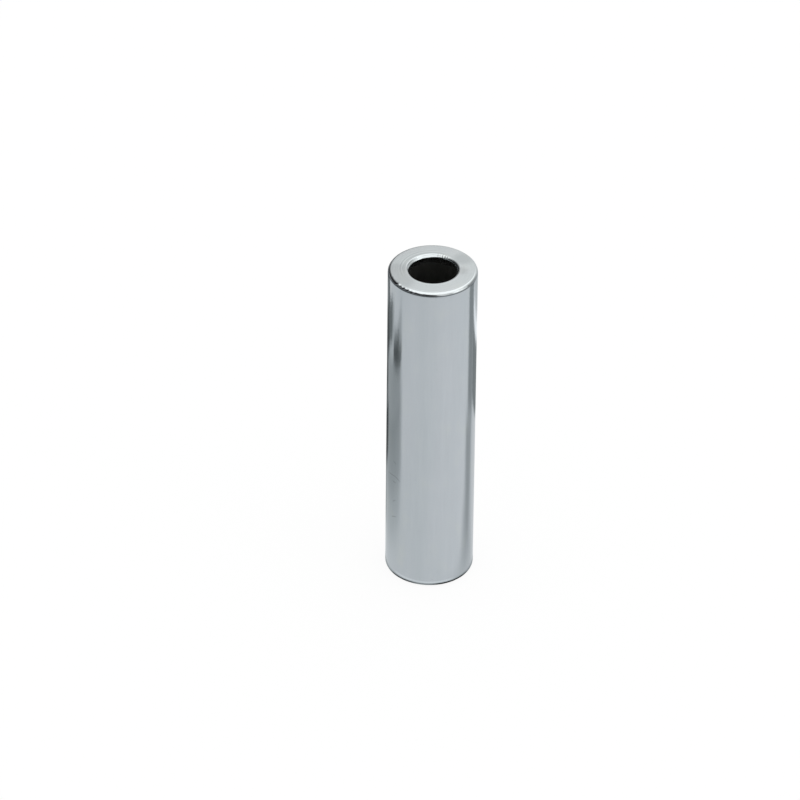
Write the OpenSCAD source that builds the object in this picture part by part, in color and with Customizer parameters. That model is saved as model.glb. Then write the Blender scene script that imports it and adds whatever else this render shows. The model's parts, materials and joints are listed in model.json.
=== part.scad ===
// Round spacer sleeve: a length of bar, turned, drilled right through and
// rounded at every edge. A bolt passes through the bore and the two end faces
// hold the clamped parts apart.
// It stands on one end face, with its axis on Z. Sizes are in millimetres.

/* [Sleeve] */
// Distance between the two end faces, which is the gap that the sleeve keeps
length = 40; // [10:1:80]
// Diameter over the outside
outer_d = 10; // [9:0.5:16]
// Diameter of the through bore, a close clearance for an M5 bolt
bore_d = 5.3; // [3:0.1:6.4]

/* [Edges] */
// Radius that rounds the outside edge of each end face
rim_round = 0.4; // [0.1:0.05:0.6]
// Radius that leads into the bore at each end face
mouth_round = 0.35; // [0.1:0.05:0.5]

/* [Smoothness] */
// Facets round the sleeve in a preview
turn_facets = 96; // [48:8:192]
// Facets round the circle that rounds an edge in a preview
edge_facets = 48; // [24:8:96]

/* [Hidden] */

outer_r = outer_d / 2;
bore_r = bore_d / 2;
wall = outer_r - bore_r;

// What rounding takes off a square corner at the origin, whose sides run along
// +X and +Y. The arc meets both sides smoothly.
module corner_waste(radius) {
    difference() {
        square(radius);
        translate([radius, radius])
            circle(r = radius, $fn = edge_facets);
    }
}

// Half of the wall's section, from the foot face up to mid-length, with the
// bore's edge and the rim's edge of the foot rounded
module foot_half_section() {
    difference() {
        translate([bore_r, 0])
            square([wall, length / 2]);
        translate([bore_r, 0])
            corner_waste(mouth_round);
        translate([outer_r, 0])
            mirror([1, 0])
                corner_waste(rim_round);
    }
}

// The wall's whole section: both ends are alike
module wall_section() {
    foot_half_section();
    translate([0, length])
        mirror([0, 1])
            foot_half_section();
}

// The sleeve, one solid turned about Z
module sleeve() {
    color([0.72, 0.745, 0.775])
        rotate_extrude($fn = turn_facets)
            wall_section();
}

sleeve();
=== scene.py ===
"""Looks of a spacer sleeve: a turned, drilled and zinc plated steel sleeve that stands on one end.

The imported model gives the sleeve's size and place. One surface of revolution stands for its
solid and carries the relief that turning, drilling and handling leave, and one procedural
finish covers it. The sleeve stands on a white table in plain soft light.

Lengths are in millimetres, and become metres where a mesh, a bump or the camera takes them. An
azimuth is in degrees, 0 at the front, which faces the camera, and positive to the right.
"""

import json
import math
from collections import namedtuple

import bpy
import numpy as np
from mathutils import Matrix, Vector


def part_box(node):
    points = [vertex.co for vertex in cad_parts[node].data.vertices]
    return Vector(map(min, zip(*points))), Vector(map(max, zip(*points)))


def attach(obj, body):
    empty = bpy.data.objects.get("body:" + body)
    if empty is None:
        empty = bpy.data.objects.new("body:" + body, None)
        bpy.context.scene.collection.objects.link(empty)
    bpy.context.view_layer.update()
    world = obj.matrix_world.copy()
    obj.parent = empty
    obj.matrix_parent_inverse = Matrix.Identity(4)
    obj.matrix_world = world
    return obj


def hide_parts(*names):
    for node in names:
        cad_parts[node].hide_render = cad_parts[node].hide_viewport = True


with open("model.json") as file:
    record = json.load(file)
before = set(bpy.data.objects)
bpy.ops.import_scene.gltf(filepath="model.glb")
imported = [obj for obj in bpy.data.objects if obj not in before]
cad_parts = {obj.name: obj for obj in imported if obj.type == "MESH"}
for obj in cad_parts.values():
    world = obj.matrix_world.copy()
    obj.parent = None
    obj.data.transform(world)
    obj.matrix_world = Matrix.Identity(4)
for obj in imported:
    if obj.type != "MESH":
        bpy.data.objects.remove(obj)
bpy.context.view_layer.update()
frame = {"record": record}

MM = 0.001

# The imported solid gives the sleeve's size
foot_corner, head_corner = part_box("sleeve")
bore_dims = next(m["dims"] for m in frame["record"]["mounts"] if m["name"] == "bore")
LENGTH = (head_corner.z - foot_corner.z) / MM
OUTER_R = head_corner.x / MM
BORE_R = bore_dims["r_mm"]
MOUTH_ROUND = (LENGTH - bore_dims["length_mm"]) / 2
RIM_ROUND = 0.4
RIM_R = OUTER_R - RIM_ROUND
MOUTH_R = BORE_R + MOUTH_ROUND

# Steps of the surface, round the axis and along its section
TURN_STEPS = 480
FACE_STEPS = 42
RIM_STEPS = 18
MOUTH_STEPS = 20
WALL_STEPS = 32
BORE_STEPS = 10

# How much of the UV map each kind of stretch gets for its length
FACE_SHARE = 4.0
EDGE_SHARE = 2.0
WALL_SHARE = 0.8
BORE_SHARE = 0.25

# The front, as an angle from the X axis
FRONT = math.radians(-90)


def rise(low, high, value):
    """0 below low, 1 above high and the S curve 3t^2 - 2t^3 between."""
    t = np.clip((value - low) / (high - low), 0, 1)
    return t * t * (3 - 2 * t)


def bump_at(value, centre, width):
    """A rounded bump of height 1: exp(-((value - centre) / width)^2)."""
    return np.exp(-(((value - centre) / width) ** 2))


def wave(value, pitch, phase=0.0):
    """A wave that repeats at each pitch: cos(2 pi value / pitch + phase)."""
    return np.cos(2 * np.pi * value / pitch + phase)


def facing_azimuth(angle, azimuth_deg):
    """The cosine of the turn from an angle, which starts at the X axis, to an azimuth."""
    return np.cos(angle - FRONT - np.radians(azimuth_deg))


def straight(start, end, steps):
    """Points from start up to end, which is left out, closest together at both ends.

    The share of the way is (1 - cos(pi t)) / 2."""
    share = (1 - np.cos(np.pi * np.arange(steps) / steps)) / 2
    return np.outer(1 - share, start) + np.outer(share, end)


def quarter(centre, radius, from_deg, steps):
    """Points of a quarter circle, anticlockwise from from_deg, without its last point."""
    angle = np.radians(from_deg + 90 * np.arange(steps) / steps)
    return centre + radius * np.column_stack([np.cos(angle), np.sin(angle)])


def wall_section():
    """The wall's closed section as rows of (radius, height), anticlockwise, and each row's UV share.

    It runs out along the foot face, up the outer wall, in along the head face and down the bore,
    and a quarter circle turns each corner. A stretch with fine marks gets more of the UV map."""
    head_rim = LENGTH - RIM_ROUND
    head_mouth = LENGTH - MOUTH_ROUND
    stretches = [
        (straight((MOUTH_R, 0), (RIM_R, 0), FACE_STEPS), FACE_SHARE),
        (quarter((RIM_R, RIM_ROUND), RIM_ROUND, -90, RIM_STEPS), EDGE_SHARE),
        (straight((OUTER_R, RIM_ROUND), (OUTER_R, head_rim), WALL_STEPS), WALL_SHARE),
        (quarter((RIM_R, head_rim), RIM_ROUND, 0, RIM_STEPS), EDGE_SHARE),
        (straight((RIM_R, LENGTH), (MOUTH_R, LENGTH), FACE_STEPS), FACE_SHARE),
        (quarter((MOUTH_R, head_mouth), MOUTH_ROUND, 90, MOUTH_STEPS), EDGE_SHARE),
        (straight((BORE_R, head_mouth), (BORE_R, MOUTH_ROUND), BORE_STEPS), BORE_SHARE),
        (quarter((MOUTH_R, MOUTH_ROUND), MOUTH_ROUND, 180, MOUTH_STEPS), EDGE_SHARE),
    ]
    points = np.vstack([rows for rows, _ in stretches])
    weight = np.concatenate([np.full(len(rows), share) for rows, share in stretches])
    return points, weight


def outward(points):
    """The section's outward normals: the chord from the row before to the row after, turned clockwise."""
    chord = np.roll(points, -1, axis=0) - np.roll(points, 1, axis=0)
    normal = np.column_stack([chord[:, 1], -chord[:, 0]])
    return normal / np.linalg.norm(normal, axis=1, keepdims=True)


# Waves that the turning tool leaves on the end faces
FEED_PITCH, FEED_HEIGHT = 0.16, 0.0004
WIDE_PITCH, WIDE_PHASE, WIDE_HEIGHT = 0.83, 1.1, 0.0009
CLOSE_PITCH, CLOSE_HEIGHT = 0.47, 0.0006
# The lip round the mouth: its middle, outwards from the mouth's edge, and how wide it spreads
LIP_MIDDLE, LIP_SPREAD, LIP_HEIGHT = 0.02, 0.2, 0.012
# The ridges outside the lip, measured in the same way
RIDGE_FIRST, RIDGE_PITCH, RIDGE_HEIGHT = 0.19, 0.35, 0.006
RIDGES_MIDDLE, RIDGES_SPREAD = 0.5, 0.28
# Where the ridges are high, the cosines between which they rise to it, and their least share
RIDGES_AZIMUTH, RIDGES_FADE, RIDGES_LEAST = -125, (-0.1, 0.6), 0.25


def turning_marks(radius, angle):
    """Height of the tool's marks on an end face.

    The feed is a fine wave along the radius, and a spiral, because the angle is added to its
    phase. Two wider sine waves make rings, and a rounded bump is a low lip round the mouth.
    Outside the lip, a wave times a wider bump makes ridges, which are high at the back left."""
    feed = FEED_HEIGHT * wave(radius, FEED_PITCH, angle)
    rings = WIDE_HEIGHT * np.sin(2 * np.pi * radius / WIDE_PITCH + WIDE_PHASE)
    rings = rings + CLOSE_HEIGHT * np.sin(2 * np.pi * radius / CLOSE_PITCH)
    from_mouth = radius - MOUTH_R
    lip = LIP_HEIGHT * bump_at(from_mouth, LIP_MIDDLE, LIP_SPREAD)
    ridges = RIDGE_HEIGHT * wave(from_mouth - RIDGE_FIRST, RIDGE_PITCH)
    ridges = ridges * bump_at(from_mouth, RIDGES_MIDDLE, RIDGES_SPREAD)
    high = rise(*RIDGES_FADE, facing_azimuth(angle, RIDGES_AZIMUTH))
    return feed + rings + lip + ridges * (RIDGES_LEAST + (1 - RIDGES_LEAST) * high)


# A small knock on a rim: the end it is at, its tilt along the rim's round, which starts at the end
# face, its azimuth, its size and its depth, which is below 0 for a raised burr
Knock = namedtuple("Knock", "at_head tilt_deg azimuth_deg size depth")
BURRS = (
    Knock(True, 40.0, -51.0, 0.17, -0.075),
    Knock(True, 46.0, -44.5, 0.12, -0.032),
    Knock(True, 46.0, -38.5, 0.12, -0.032),
    Knock(True, 48.0, -32.0, 0.13, -0.032),
)
# The row of knocks at the front left of the head: first and last azimuth and the step between
# two, and the ranges that each knock is drawn from
ROW_AZIMUTHS = (-46.5, -6, 2.7)
ROW_ASIDE, ROW_TILT, ROW_SIZE, ROW_DEPTH = (-0.8, 0.8), (48, 60), (0.1, 0.12), (-0.017, 0.003)
# How many dents each rim has, and the ranges that each is drawn from
RIM_DENTS = 22
DENT_TILT, DENT_SIZE, DENT_DEPTH = (25, 65), (0.05, 0.13), (0.002, 0.011)


def rim_knocks(rng):
    """The burrs, the row of knocks along the front left of the head, and dents at random."""
    found = list(BURRS)
    for azimuth in np.arange(*ROW_AZIMUTHS):
        aside = azimuth + rng.uniform(*ROW_ASIDE)
        tilt = rng.uniform(*ROW_TILT)
        size = rng.uniform(*ROW_SIZE)
        found.append(Knock(True, tilt, aside, size, rng.uniform(*ROW_DEPTH)))
    for at_head in (True, False):
        for _ in range(RIM_DENTS):
            size = rng.uniform(*DENT_SIZE)
            tilt = rng.uniform(*DENT_TILT)
            azimuth = rng.uniform(0, 360)
            found.append(Knock(at_head, tilt, azimuth, size, rng.uniform(*DENT_DEPTH)))
    return found


def knock_depth(points, angle, rng):
    """Depth of the knocks on the rims, for each row and each angle.

    Each knock is exp(-a^2 - b^2), where a is the distance to it round the rim and b the one along
    the section, both in sizes of the knock."""
    depth = np.zeros((len(points), len(angle)))
    for knock in rim_knocks(rng):
        tilt = math.radians(knock.tilt_deg)
        below = RIM_ROUND * (1 - math.cos(tilt))
        height = LENGTH - below if knock.at_head else below
        radius = RIM_R + RIM_ROUND * math.sin(tilt)
        turned = angle - FRONT - math.radians(knock.azimuth_deg)
        aside = RIM_R * np.abs(np.angle(np.exp(1j * turned))) / knock.size
        along = np.hypot(points[:, 0] - radius, points[:, 1] - height) / knock.size
        depth += knock.depth * np.exp(-(aside[None, :] ** 2) - along[:, None] ** 2)
    return depth


# The marks on the edges end this far from an end of the sleeve, and are whole up to half of it
EDGE_ZONE = 1.0
# The flattening of the mouths' rounds and the fine cuts in them
FLAT_DEPTH = 0.05
CUT_PITCH, CUT_HEIGHT = 0.13, 0.0035
# Where the flattening is deep, the cosines between which it gets so, its least share and its gain
FLAT_AZIMUTH, FLAT_FADE, FLAT_LEAST, FLAT_GAIN = -146, (0.3, 0.85), 0.15, 1.1
# Ripples of the mouths' rounds: waves in a turn, share and phase of each wave
RIPPLE_HEIGHT = 0.007
RIPPLES = ((61, 1.0, 0.0), (97, 0.7, 1.3), (139, 0.5, 0.4))
# Where the ripples swell: an azimuth, the cosines between which they do, and how much
SWELLS = ((157, (0.955, 0.985), 2.0), (-115, (0.5, 0.95), 0.35))
# Slow waves of the rims: waves in a turn and phase, of a wave and of the one it is multiplied by
SLOW_HEIGHT = 0.002
SLOW_WAVES = ((17, 0.5, 5, 0.0), (43, 2.0, 3, 1.0))
# Distances from the axis at which the ripples and the slow waves are high, and their spread
RIPPLES_R = BORE_R + 0.5 * MOUTH_ROUND
SLOW_R = RIM_R + 0.75 * RIM_ROUND
EDGE_SPREAD = 0.2


def edge_marks(points, angle):
    """Height of the marks on the rounded edges, for each row and each angle.

    The deburring tool has flattened the middle of the mouths' rounds, by the square of the sine of
    twice the tilt, and cut fine waves along them. Round the axis the mouths ripple in a sum of
    short sine waves, and the rims in a sum of products of two slower ones."""
    radius = points[:, 0]
    near_end = rise(EDGE_ZONE, EDGE_ZONE / 2, np.minimum(points[:, 1], LENGTH - points[:, 1]))
    tilt = np.arcsin(np.clip((MOUTH_R - radius) / MOUTH_ROUND, 0, 1))
    deep = FLAT_LEAST + FLAT_GAIN * rise(*FLAT_FADE, facing_azimuth(angle, FLAT_AZIMUTH))
    flattened = -FLAT_DEPTH * near_end * np.sin(2 * tilt) ** 2
    cuts = CUT_HEIGHT * near_end * wave(tilt * MOUTH_ROUND, CUT_PITCH) * np.sin(2 * tilt)

    swell = 0
    for azimuth_deg, fade, gain in SWELLS:
        swell = swell + gain * rise(*fade, facing_azimuth(angle, azimuth_deg))
    short = sum(share * np.sin(count * angle + phase) for count, share, phase in RIPPLES)
    on_mouth = near_end * bump_at(radius, RIPPLES_R, EDGE_SPREAD)
    ripples = RIPPLE_HEIGHT * on_mouth[:, None] * (swell * short)[None, :]

    slow = sum(np.sin(a * angle + b) * np.sin(c * angle + d) for a, b, c, d in SLOW_WAVES)
    on_rim = near_end * bump_at(radius, SLOW_R, EDGE_SPREAD)
    slow_waves = SLOW_HEIGHT * on_rim[:, None] * slow[None, :]
    return flattened[:, None] * deep[None, :] + cuts[:, None] + ripples + slow_waves


# How far the end faces fall, how far from the mouth's edge the fall starts, and the distances
# from an end between which it fades in
FALL_DEPTH, FALL_START, FALL_FADE = 0.025, 0.3, (0.5, 0.15)
# How sharply the turning marks keep to the faces
FACING_POWER = 8
RELIEF_SEED = 11


def relief(points, angle):
    """Height of the surface against the plain section, for each row and each angle.

    It is 0 at most, but for the burrs. The turning marks lie on the faces, by the 8th power of the
    normal's part along the axis, and the faces fall a little towards the rims on an S curve."""
    rng = np.random.default_rng(RELIEF_SEED)
    radius = points[:, :1]
    facing = np.abs(outward(points)[:, 1:])
    from_end = np.minimum(points[:, 1:], LENGTH - points[:, 1:])
    fall = -FALL_DEPTH * rise(MOUTH_R + FALL_START, OUTER_R, radius) * rise(*FALL_FADE, from_end)
    height = fall + facing**FACING_POWER * turning_marks(radius, angle[None, :])
    height = height + edge_marks(points, angle)
    return height - height.max() - knock_depth(points, angle, rng)


def revolved(name):
    """The sleeve's closed surface.

    A point (r, z) of the section at angle a lies at (r cos a, r sin a, z), moved by the relief
    along the section's normal. Its UV map is the share of a turn and of the weighted section."""
    points, weight = wall_section()
    angle = 2 * np.pi * np.arange(TURN_STEPS) / TURN_STEPS
    height = relief(points, angle)
    normal = outward(points)
    radius = points[:, :1] + normal[:, :1] * height
    up = points[:, 1:] + normal[:, 1:] * height
    grid = np.stack([radius * np.cos(angle), radius * np.sin(angle), up], axis=2)

    rows = len(points)
    row, turn = np.meshgrid(np.arange(rows), np.arange(TURN_STEPS), indexing="ij")
    corner_row = row.reshape(-1, 1) + np.array([0, 0, 1, 1])
    corner_turn = turn.reshape(-1, 1) + np.array([0, 1, 1, 0])
    faces = (corner_row % rows) * TURN_STEPS + corner_turn % TURN_STEPS
    mesh = bpy.data.meshes.new(name)
    mesh.from_pydata((grid.reshape(-1, 3) * MM).tolist(), [], faces.tolist())
    mesh.polygons.foreach_set("use_smooth", np.ones(len(faces), bool))

    stretch = np.linalg.norm(np.roll(points, -1, axis=0) - points, axis=1) * weight
    share = np.concatenate([[0], np.cumsum(stretch)]) / stretch.sum()
    uv = np.stack([corner_turn / TURN_STEPS, share[corner_row]], axis=2)
    mesh.uv_layers.new(name="OFBake").uv.foreach_set("vector", uv.astype(np.float32).ravel())
    mesh.update()
    return added(name, mesh)


def added(name, data):
    """A new object of that data, in the scene."""
    made = bpy.data.objects.new(name, data)
    bpy.context.scene.collection.objects.link(made)
    return made


def at_azimuth(azimuth_deg, out, height):
    """The point at an azimuth, a distance out from the axis and a height."""
    a = math.radians(azimuth_deg)
    return Vector((out * math.sin(a), -out * math.cos(a), height))


def direction(azimuth_deg, elevation_deg):
    """The direction that lies at an azimuth and an elevation, with a length of 1."""
    e = math.radians(elevation_deg)
    return at_azimuth(azimuth_deg, math.cos(e), math.sin(e))


class Maths:
    """A socket on which arithmetic works: each operator adds a Math node to the socket's tree."""

    def __init__(self, tree, socket):
        self.tree = tree
        self.socket = socket

    def __add__(self, other):
        return self.tree.math("ADD", self, other)

    def __sub__(self, other):
        return self.tree.math("SUBTRACT", self, other)

    def __rsub__(self, other):
        return self.tree.math("SUBTRACT", other, self)

    def __mul__(self, other):
        return self.tree.math("MULTIPLY", self, other)

    def __truediv__(self, other):
        return self.tree.math("DIVIDE", self, other)

    __radd__ = __add__
    __rmul__ = __mul__


class Tree:
    """A shader tree to which every node is added by one method."""

    def __init__(self, nodes_of):
        nodes_of.use_nodes = True
        self.nodes = nodes_of.node_tree.nodes
        self.links = nodes_of.node_tree.links
        self.nodes.clear()

    def add(self, kind, settings, values, output=0):
        """Adds a node, sets its settings, sets or links its sockets, and gives one output, wrapped."""
        node = self.nodes.new(kind)
        for name, setting in settings.items():
            setattr(node, name, setting)
        for name, value in values.items():
            if isinstance(value, Maths):
                self.links.new(value.socket, node.inputs[name])
            else:
                node.inputs[name].default_value = value
        return Maths(self, node.outputs[output] if node.outputs else None)

    def math(self, operation, *values):
        """A Math node's result."""
        return self.add("ShaderNodeMath", {"operation": operation}, dict(enumerate(values)))

    def vector(self, operation, values, output=0):
        """A Vector Math node's result."""
        return self.add("ShaderNodeVectorMath", {"operation": operation}, values, output)

    def rise(self, value, low, high, start=0.0, end=1.0):
        """An S curve from start at low to end at high."""
        sockets = {"Value": value, "From Min": low, "From Max": high, "To Min": start, "To Max": end}
        return self.add("ShaderNodeMapRange", {"interpolation_type": "SMOOTHSTEP"}, sockets)

    def lobe(self, cosine, inner_deg, outer_deg):
        """1 within inner_deg of a direction and 0 beyond outer_deg, by the cosine of the angle to it."""
        return self.rise(cosine, math.cos(math.radians(outer_deg)), math.cos(math.radians(inner_deg)))

    def noise(self, place, scale, detail=2.0, roughness=0.5):
        """Noise about 0, mostly between -1 and 1, that a scale of three numbers stretches."""
        stretched = self.add("ShaderNodeMapping", {}, {"Vector": place, "Scale": scale})
        sockets = {"Vector": stretched, "Scale": 1.0, "Detail": detail, "Roughness": roughness}
        return (self.add("ShaderNodeTexNoise", {}, sockets) - 0.5) * 4.0

    def mix(self, share, colour_a, colour_b):
        """Two colours mixed. The sockets go by number, as the node has several of each name."""
        sockets = {0: share, 6: colour_a, 7: colour_b}
        return self.add("ShaderNodeMix", {"data_type": "RGBA"}, sockets, 2)

    def xyz(self, place):
        """The three parts of a vector."""
        first = self.add("ShaderNodeSeparateXYZ", {}, {0: place})
        return [Maths(self, socket) for socket in first.socket.node.outputs]

    def rays(self, *names):
        """1 on a ray of any of those kinds."""
        outputs = self.add("ShaderNodeLightPath", {}, {}).socket.node.outputs
        found = Maths(self, outputs[names[0]])
        for name in names[1:]:
            found = self.math("MAXIMUM", found, Maths(self, outputs[name]))
        return found


# Colours of the finish
PLATE_COOL = (0.588, 0.625, 0.647, 1)
PLATE_BLUE = (0.6, 0.625, 0.652, 1)
PLATE_CLOUD = (0.62, 0.645, 0.632, 1)
# The bore's colour: darker drilled steel, darkened further by painted shade inside the bore
DRILLED_STEEL_AND_SHADE = (0.25, 0.24, 0.22, 1)

# Scale of each noise along X, Y and Z, for each millimetre
GRAIN_SCALE = (7.0, 7.0, 0.28)
STREAK_SCALE = (1.3, 1.3, 0.07)
BROAD_SCALE = (0.3, 0.3, 0.03)
CLOUD_SCALE = (0.45, 0.45, 0.3)
SKIN_SCALE = (4.2, 4.2, 3.0)
# The rings' noise runs over the distance from the axis and, more slowly, over the height
RING_SCALE = (9.0, 1.0, 0.2)
RING_DETAIL, RING_ROUGHNESS = 3.0, 0.7
# Scale of the pits, and the distances from a pit's middle between which it fades in
PIT_SCALE, PIT_FADE = 0.9, (0.09, 0.03)

# What a pattern adds to the tone, the roughness and the height of the finish
Layer = namedtuple("Layer", "tone rough height")
GRAIN = Layer(0.014, 0.012, 0.0002)
STREAKS = Layer(0.012, 0.01, 0.0)
BROAD = Layer(0.03, 0.0, 0.0)
RINGS = Layer(0.025, 0.02, 0.003)
CLOUDS = Layer(0.012, 0.0, 0.0015)
SKIN = Layer(0.0, 0.008, 0.0007)
PITS = Layer(-0.08, 0.08, -0.0025)
SCARS = Layer(-0.22, 0.05, -0.003)

# Roughness of the wall, what the faces and the bore add to it, and its least
WALL_ROUGH = 0.115
FACE_ROUGH = 0.03
BORE_ROUGH = 0.3
LEAST_ROUGH = 0.06

# Distances from an end between which the faces, the bore and the painted dark line under a rim fade in or
# out
FACE_FADE = (0.3, 0.04)
BORE_FADE = (0.3, 1.3)
RIM_SHADE_FADE_IN = (0.14, 0.3)
RIM_SHADE_FADE_OUT = (0.52, 0.4)
# The same as distances from the axis
BORE_WALL = (BORE_R + 0.04, BORE_R + 0.02)
RIM_SHADE_WALL = (RIM_R - 0.2, RIM_R)
# The painted dark line's share at the foot, and how much that line and the painted dark patches dim the
# tone
RIM_SHADE_AT_FOOT = 0.5
RIM_SHADE_DIMS = 0.42
PAINTED_PATCH_DIMS = 0.15


def total(layers, part, start):
    """The start, and each pattern times what its layer adds to that part of the finish."""
    for pattern, layer in layers:
        amount = getattr(layer, part)
        if amount:
            start = start + pattern * amount
    return start


def zinc_plate():
    """Bright blue-white zinc over turned steel.

    It has a fine grain along the wall, rings on the end faces, a cloudy plate, a painted dark line
    where each rim meets the wall in place of a dark reflection, painted dark patches on the head
    face, a bore of darker drilled steel that is darkened further by painted shade, and the pits and
    scratches of parts that have lain loose together."""
    material = bpy.data.materials.new("zinc_plate")
    tree = Tree(material)
    place = tree.vector("SCALE", {0: tree.add("ShaderNodeTexCoord", {}, {}, "Object"), "Scale": 1 / MM})
    x, y, z = tree.xyz(place)
    radius = tree.math("SQRT", x * x + y * y)
    from_end = tree.math("MINIMUM", z, LENGTH - z)

    face = tree.rise(from_end, *FACE_FADE)
    wall = 1 - face
    inside = tree.rise(radius, *BORE_WALL) * tree.rise(from_end, *BORE_FADE)
    # The line: painted shade under each rim, a dark band in place of the dark reflection there, fainter
    # at the foot
    line = tree.rise(from_end, *RIM_SHADE_FADE_IN) * tree.rise(from_end, *RIM_SHADE_FADE_OUT)
    line = line * tree.rise(radius, *RIM_SHADE_WALL) * tree.rise(z, 0.0, LENGTH, RIM_SHADE_AT_FOOT, 1.0)

    broad = tree.noise(place, BROAD_SCALE)
    clouds = tree.noise(place, CLOUD_SCALE)
    ring_place = tree.add("ShaderNodeCombineXYZ", {}, {"X": radius, "Y": 0.0, "Z": z})
    rings = tree.noise(ring_place, RING_SCALE, RING_DETAIL, RING_ROUGHNESS)
    pit_middles = tree.add("ShaderNodeTexVoronoi", {}, {"Vector": place, "Scale": PIT_SCALE})
    layers = (
        (tree.noise(place, GRAIN_SCALE) * wall, GRAIN),
        (tree.noise(place, STREAK_SCALE) * wall, STREAKS),
        (broad * wall, BROAD),
        (rings * face, RINGS),
        (clouds, CLOUDS),
        (tree.noise(place, SKIN_SCALE), SKIN),
        (tree.rise(pit_middles, *PIT_FADE), PITS),
        (scratches(tree, place), SCARS),
    )

    plate = tree.mix(tree.rise(broad, -1.0, 1.0), PLATE_COOL, PLATE_BLUE)
    plate = tree.mix(tree.rise(clouds, 0.0, 2.0), plate, PLATE_CLOUD)
    # The bore takes that colour, drilled steel with painted shade, in full from a little inside each
    # mouth
    metal = tree.mix(inside, plate, DRILLED_STEEL_AND_SHADE)
    # Painted shade: the dark line under each rim, and on the next line the painted dark patches of the
    # head face
    tone = total(layers, "tone", 1.0) * (1 - line * RIM_SHADE_DIMS)
    tone = tone * (1 - painted_dark_patches(tree, place) * face * PAINTED_PATCH_DIMS)
    rough = total(layers, "rough", face * FACE_ROUGH + WALL_ROUGH) + inside * BORE_ROUGH
    height = total(layers, "height", 0.0) * (1 - inside)
    shader = tree.add(
        "ShaderNodeBsdfPrincipled",
        {},
        {
            "Base Color": tree.vector("SCALE", {0: metal, "Scale": tone}),
            "Metallic": 1.0,
            "Roughness": tree.math("MAXIMUM", rough, LEAST_ROUGH),
            "Normal": tree.add("ShaderNodeBump", {}, {"Strength": 1.0, "Distance": MM, "Height": height}),
        },
    )
    tree.add("ShaderNodeOutputMaterial", {}, {"Surface": shader})
    return material


# Painted dark patches of the head face, in place of darker reflections there: azimuth, distance from the
# axis and size of each
PAINTED_PATCHES = ((-52, 4.0, 1.8), (-86, 3.9, 1.9), (84, 3.1, 1.1), (122, 3.9, 1.6))
# The share of its size within which a patch is whole
PATCH_CORE = 0.3


def painted_dark_patches(tree, place):
    """Where painted shade darkens the head face, in place of darker reflections: soft round patches, 1 in
    the middle of each.
    """
    found = 0.0
    for azimuth_deg, out, size in PAINTED_PATCHES:
        away = tree.vector("DISTANCE", {0: place, 1: at_azimuth(azimuth_deg, out, LENGTH)}, "Value")
        found = found + tree.rise(away, size, PATCH_CORE * size)
    return tree.math("MINIMUM", found, 1.0)


# Scratches at the left of the wall: azimuth and height of both ends of each
LEFT_SCRATCHES = (
    (-67.5, 13.7, -51.5, 13.95),
    (-51.5, 13.95, -43.0, 13.65),
    (-56.0, 15.9, -50.0, 15.7),
    (-57.0, 13.1, -51.0, 13.1),
    (-56.5, 10.3, -51.5, 10.65),
    (-58.5, 8.1, -50.0, 8.45),
)
# How many more there are, and the ranges that they are drawn from
MORE_SCRATCHES = 9
SCRATCH_AZIMUTH, SCRATCH_HEIGHT = (75, 285), (4, 36)
SCRATCH_TURN, SCRATCH_CLIMB = (-14, 14), (-2.5, 2.5)
SCRATCH_SEED = 5
# Distances from a scratch between which it fades in, and how far past and inside its ends it does
SCRATCH_FADE = (0.09, 0.03)
SCRATCH_PAST, SCRATCH_TAPER = 0.15, 0.2


def scratches(tree, place):
    """Short scratches on the wall, 1 on each.

    Each is the nearness to the straight line between its two ends, and fades out at the ends. The
    left of the wall has a group of them, and the rest lie at random on the right and the back."""
    ends = list(LEFT_SCRATCHES)
    rng = np.random.default_rng(SCRATCH_SEED)
    for _ in range(MORE_SCRATCHES):
        azimuth = rng.uniform(*SCRATCH_AZIMUTH)
        height = rng.uniform(*SCRATCH_HEIGHT)
        far_azimuth = azimuth + rng.uniform(*SCRATCH_TURN)
        ends.append((azimuth, height, far_azimuth, height + rng.uniform(*SCRATCH_CLIMB)))
    found = 0.0
    for azimuth_a, height_a, azimuth_b, height_b in ends:
        start = at_azimuth(azimuth_a, OUTER_R, height_a)
        run = at_azimuth(azimuth_b, OUTER_R, height_b) - start
        way = run.normalized()
        from_start = tree.vector("SUBTRACT", {0: place, 1: start})
        along = tree.vector("DOT_PRODUCT", {0: from_start, 1: way}, "Value")
        cross = tree.vector("CROSS_PRODUCT", {0: from_start, 1: way})
        across = tree.vector("LENGTH", {0: cross}, "Value")
        line = tree.rise(across, *SCRATCH_FADE) * tree.rise(along, -SCRATCH_PAST, SCRATCH_TAPER)
        line = line * tree.rise(along, run.length + SCRATCH_PAST, run.length - SCRATCH_TAPER)
        found = found + line
    return found


# The camera as fitted to the photograph, in its own pixels
PICTURE_PX = 800
FOCAL_PX = 6500.0
MIDDLE_PX = (430.9, 416.9)
CAMERA_DISTANCE = 727.6
CAMERA_ELEVATION_DEG = 35.19
CAMERA_ROLL_DEG = 0.78
SENSOR = 36.0
# How far its line of sight falls for each step outwards, once the wall has mirrored it
SIGHT_FALL = math.tan(math.radians(CAMERA_ELEVATION_DEG))
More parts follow.
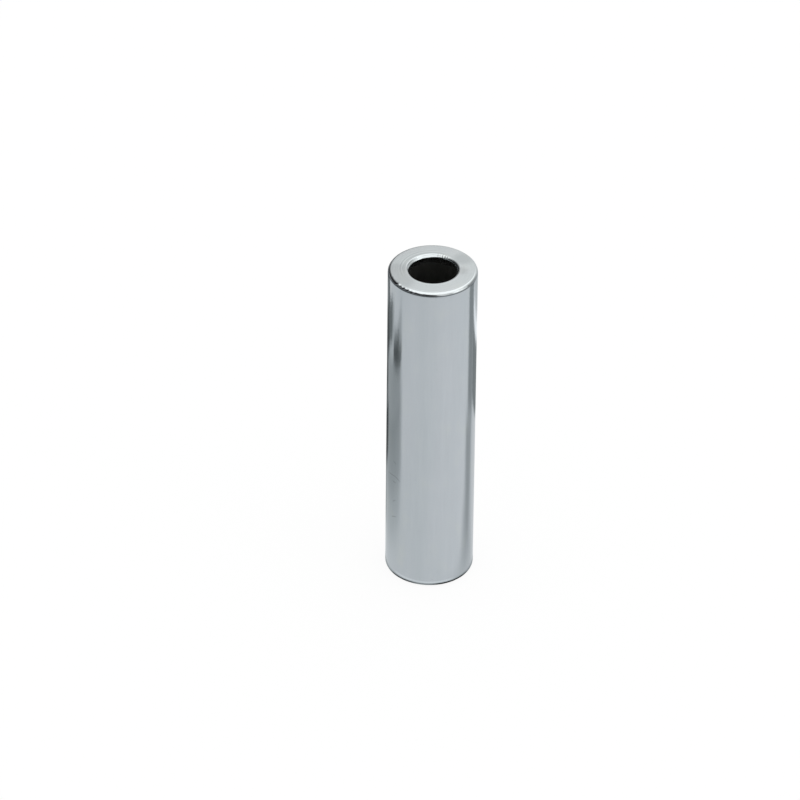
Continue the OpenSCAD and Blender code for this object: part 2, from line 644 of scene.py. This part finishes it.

# Painted reflections: strips of the table that only the metal sees are darkened, and one lightened, in
# place of the things round the sleeve that the wall mirrors
# A strip of the table, as the wall shows it between two azimuths of the wall and between heights
# that fade in and out. It is soft over a width on the table, and dims the table, or brightens it
# where that is below 0.
Strip = namedtuple("Strip", "from_deg to_deg heights soft dims")
PAINTED_STRIPS = (
    # The broad strip at the left
    Strip(-80, -42.3, (1, 9, 28.5, 33), 3.2, 0.24),
    Strip(-80, -44.3, (9, 24, 28.5, 33), 2.5, 0.28),
    Strip(-80, -40.8, (8, 13, 19, 23), 2.5, 0.18),
    # The dark patches at the upper left
    Strip(-58.2, -42.6, (28.2, 30.4, 31.2, 32.8), 1.3, 0.8),
    Strip(-57, -47.5, (30, 32, 33.3, 35.8), 1.2, 0.68),
    Strip(-71.5, -62, (30.9, 32.9, 38, 39.5), 1.2, 0.74),
    Strip(-63, -57.5, (31.5, 33, 38, 39.5), 1.2, 0.36),
    Strip(-79, -70.5, (29, 32, 60, 70), 1.5, 0.75),
    # The left side
    Strip(-93, -74, (12.2, 15.2, 35.5, 37.5), 1.5, 0.5),
    Strip(-93, -71, (38, 44, 150, 220), 3.0, 0.6),
    Strip(-93, -79.5, (3, 8, 150, 220), 1.2, 0.6),
    Strip(-93, -76, (23.6, 25, 27, 29), 1.5, 0.3),
    Strip(-93, -72, (12.8, 15.8, 20.8, 22), 1.2, 0.6),
    # The narrow strip at the right
    Strip(52.2, 65.2, (-4, 0, 19, 25), 3.0, 0.46),
    Strip(47.5, 55, (-4, 0, 8, 13), 1.5, 0.12),
    Strip(66, 94, (0, 3, 19.5, 21), 1.5, 0.1),
    Strip(55.2, 66.5, (19, 25, 60, 70), 3.0, 0.58),
    # The right side
    Strip(66.5, 94, (19.8, 22, 30.5, 32.2), 1.5, 0.66),
    Strip(67, 94, (31.6, 32.8, 34, 35.5), 1.2, -0.4),
    Strip(70, 94, (35.5, 36.5, 60, 70), 1.5, 0.2),
)


def strip_share(tree, x, y, strip):
    """1 on the strip of the table that the wall shows, and 0 off it.

    The wall at an azimuth shows the line on the table that leaves it at twice that azimuth. The
    height on the wall comes from how far out a place lies, along the strip's middle line."""

    def beyond(azimuth_deg):
        """0 to 1 across the line that the wall shows at one azimuth, towards larger azimuths."""
        a = math.radians(azimuth_deg)
        out_x = x - OUTER_R * math.sin(a)
        out_y = y + OUTER_R * math.cos(a)
        across = out_x * math.cos(2 * a) + out_y * math.sin(2 * a)
        return tree.rise(across, -strip.soft, strip.soft)

    middle = math.radians((strip.from_deg + strip.to_deg) / 2)
    out_x = x - OUTER_R * math.sin(middle)
    out_y = y + OUTER_R * math.cos(middle)
    height = (out_x * math.sin(2 * middle) - out_y * math.cos(2 * middle)) * SIGHT_FALL
    starts, full, fades, gone = strip.heights
    between = beyond(strip.from_deg) * (1 - beyond(strip.to_deg))
    return between * tree.rise(height, starts, full) * tree.rise(height, gone, fades)


# Where the left of the table is, by the cosine to an azimuth, and what is behind, by a sine
LEFT_AZIMUTH, LEFT_FADE = -80, (-0.3, 0.05)
BEHIND_FADE = (0.2, 0.8)
# The dark ring further out: where it starts, where it ends on each side, and how much it dims
RING_START = (68.0, 82.0)
LEFT_RING_END, LEFT_RING_DIMS = (420.0, 260.0), 0.88
RIGHT_RING_END, RIGHT_RING_DIMS = (135.0, 90.0), 0.7
# How much less the left ring dims behind, and how much the table brightens to the right
BEHIND_EASES = 0.25
RIGHT_GAIN = 0.05
# The shade round the foot: where it fades in and its least. Near two azimuths it gains some, in
# full within one angle and not at all beyond another.
SHADE_FADE = (OUTER_R + 0.65, OUTER_R + 0.15)
SHADE_LEAST = 0.45
SHADE_GAINS = ((-42, 8, 28, 0.45), (35, 15, 35, 0.55))
# The light line outside the shade, in front: where it fades in and out, and its gain likewise
GLINT_FADE_IN = (OUTER_R + 0.5, OUTER_R + 0.7)
GLINT_FADE_OUT = (OUTER_R + 1.0, OUTER_R + 0.8)
GLINT_GAIN = (-10, 35, 55, 0.25)


def table_tone(tree, x, y):
    """How bright the table is to the metal, as a share of lit paper, at a place x, y.

    Painted strips of it are dimmed or brightened, in place of things round the sleeve that the
    metal mirrors. Further out a painted dark ring darkens it, and it brightens again towards the
    horizon. Close round the foot it is in shade."""
    reach = tree.math("SQRT", x * x + y * y)

    def cosine_to(azimuth_deg):
        """The cosine of the turn from a place's azimuth to that one."""
        a = math.radians(azimuth_deg)
        return (x * math.sin(a) - y * math.cos(a)) / reach

    def near_azimuth(azimuth_deg, inner_deg, outer_deg, amount):
        """That amount within inner_deg of an azimuth, and 0 beyond outer_deg."""
        return tree.lobe(cosine_to(azimuth_deg), inner_deg, outer_deg) * amount

    tone = 1.0
    for strip in PAINTED_STRIPS:
        tone = tone * (1 - strip_share(tree, x, y, strip) * strip.dims)

    left = tree.rise(cosine_to(LEFT_AZIMUTH), *LEFT_FADE)
    behind = tree.rise(y / reach, *BEHIND_FADE)
    left_ring = tree.rise(reach, *LEFT_RING_END) * left * (LEFT_RING_DIMS - behind * BEHIND_EASES)
    right_ring = tree.rise(reach, *RIGHT_RING_END) * (1 - left) * (1 - behind) * RIGHT_RING_DIMS
    tone = tone * (1 - tree.rise(reach, *RING_START) * (left_ring + right_ring))
    tone = tone * (x / reach * RIGHT_GAIN + 1)

    shade = SHADE_LEAST
    for gain in SHADE_GAINS:
        shade = shade + near_azimuth(*gain)
    shade = shade * tree.rise(reach, *SHADE_FADE)
    glint = tree.rise(reach, *GLINT_FADE_IN) * tree.rise(reach, *GLINT_FADE_OUT)
    return tone * (1 - shade) * (glint * near_azimuth(*GLINT_GAIN) + 1)


# Colours of the table: to the metal, where it is dim and where it is lit, and its own
TABLE_DIM = (0.7, 0.785, 0.8, 1)
TABLE_LIT = (0.745, 0.767, 0.784, 1)
PAPER = (0.95, 0.95, 0.95, 1)
WHITE = (1, 1, 1, 1)
# How much of the table is plain white to the camera. The rest is paper that takes a shadow.
PLAIN_WHITE = 0.9
# Half of the table's side, in metres
TABLE_HALF = 2.0


def white_paper():
    """The table: to the camera a white sheet with a soft shadow, and to the metal its table_tone."""
    material = bpy.data.materials.new("white_paper")
    tree = Tree(material)
    x, y, _ = tree.xyz(tree.add("ShaderNodeTexCoord", {}, {}, "Object"))
    tone = table_tone(tree, x / MM, y / MM)
    lit = tree.vector("SCALE", {0: tree.mix(tone, TABLE_DIM, TABLE_LIT), "Scale": tone})
    seen = tree.mix(tree.rays("Is Camera Ray"), lit, WHITE)
    glow = tree.add("ShaderNodeEmission", {}, {"Color": seen})
    matt = tree.add("ShaderNodeBsdfDiffuse", {}, {"Color": PAPER})
    share = tree.rays("Is Camera Ray", "Is Transmission Ray") * PLAIN_WHITE + tree.rays("Is Glossy Ray")
    surface = tree.add("ShaderNodeMixShader", {}, {0: tree.math("MINIMUM", share, 1.0), 1: matt, 2: glow})
    tree.add("ShaderNodeOutputMaterial", {}, {"Surface": surface})
    return material


def add_table():
    """A flat square of paper under the sleeve."""
    low, high = -TABLE_HALF, TABLE_HALF
    corners = [(low, low, 0), (high, low, 0), (high, high, 0), (low, high, 0)]
    mesh = bpy.data.meshes.new("table")
    mesh.from_pydata(corners, [], [(0, 1, 2, 3)])
    mesh.materials.append(white_paper())
    added("table", mesh)


# A soft round light or dark of the room: its azimuth and elevation, the angle within which it is
# full, the angle beyond which there is none of it, and how much it adds or dims
Spot = namedtuple("Spot", "azimuth_deg elevation_deg inner_deg outer_deg amount")
ROOM_LEVEL = 0.85
# Lamps overhead, in front, at the right and higher at the right, and two at the back
LAMPS = (
    Spot(10, 84, 28, 60, 0.7),
    Spot(26, 12, 12, 22, 0.55),
    Spot(70, 7, 12, 26, 0.95),
    Spot(60, 25, 6, 17, 0.7),
    Spot(158, 45, 12, 30, 0.16),
    Spot(151, 40, 4, 16, 0.4),
)
# Darks low at the left, high at the left, and at the right
DARKS = (
    Spot(-117, -14, 40, 80, 0.96),
    Spot(-108, 48, 9, 24, 0.27),
    Spot(112, 0, 12, 32, 0.5),
)
# The dark in front, and the heights of a ray's direction between which it fades out upwards
FRONT_DARK = Spot(-50, 0, 53, 73, 0.94)
FRONT_DARK_TOP = (0.68, 0.48)
ROOM_TINT = (1.0, 1.01, 0.99)


def add_room():
    """The room's light: pale walls with soft lamps and darks.

    To the camera and to matt surfaces it is plain white."""
    world = bpy.data.worlds.new("room")
    bpy.context.scene.world = world
    tree = Tree(world)
    ray = tree.add("ShaderNodeTexCoord", {}, {}, "Generated")

    def share_of(spot):
        """A spot's amount on the rays that run into it."""
        middle = direction(spot.azimuth_deg, spot.elevation_deg)
        cosine = tree.vector("DOT_PRODUCT", {0: ray, 1: middle}, "Value")
        return tree.lobe(cosine, spot.inner_deg, spot.outer_deg) * spot.amount

    level = ROOM_LEVEL
    for lamp in LAMPS:
        level = level + share_of(lamp)
    for dark in DARKS:
        level = level * (1 - share_of(dark))
    level = level * (1 - share_of(FRONT_DARK) * tree.rise(tree.xyz(ray)[2], *FRONT_DARK_TOP))
    colour = tree.vector("SCALE", {0: ROOM_TINT, "Scale": level})
    seen = tree.mix(tree.rays("Is Camera Ray", "Is Diffuse Ray"), colour, WHITE)
    shader = tree.add("ShaderNodeBackground", {}, {"Color": seen})
    tree.add("ShaderNodeOutputWorld", {}, {"Surface": shader})


def add_camera():
    """The camera at the photograph's angle, turned aside so that the sleeve's middle is at MIDDLE_PX."""
    roll = math.radians(CAMERA_ROLL_DEG)
    back = direction(0, CAMERA_ELEVATION_DEG)
    place = Vector((0, 0, LENGTH / 2)) + back * CAMERA_DISTANCE
    level = Vector((1, 0, 0))
    climb = back.cross(level)
    right = level * math.cos(roll) + climb * math.sin(roll)
    up = climb * math.cos(roll) - level * math.sin(roll)
    aside = (MIDDLE_PX[0] - PICTURE_PX / 2) / FOCAL_PX
    below = (MIDDLE_PX[1] - PICTURE_PX / 2) / FOCAL_PX
    forward = (-back - right * aside + up * below).normalized()
    right = forward.cross(up).normalized()
    turn = Matrix((right, right.cross(forward), -forward)).transposed()
    data = bpy.data.cameras.new("camera")
    data.sensor_width = SENSOR
    data.lens = FOCAL_PX / PICTURE_PX * SENSOR
    data.clip_start = 0.01
    camera = added("camera", data)
    camera.matrix_world = Matrix.Translation(place * MM) @ turn.to_4x4()
    bpy.context.scene.camera = camera


add_camera()
add_table()
add_room()
bpy.context.scene.view_settings.view_transform = "Standard"

sleeve = revolved("sleeve_surface")
sleeve.data.materials.append(zinc_plate())
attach(sleeve, "root")
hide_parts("sleeve")
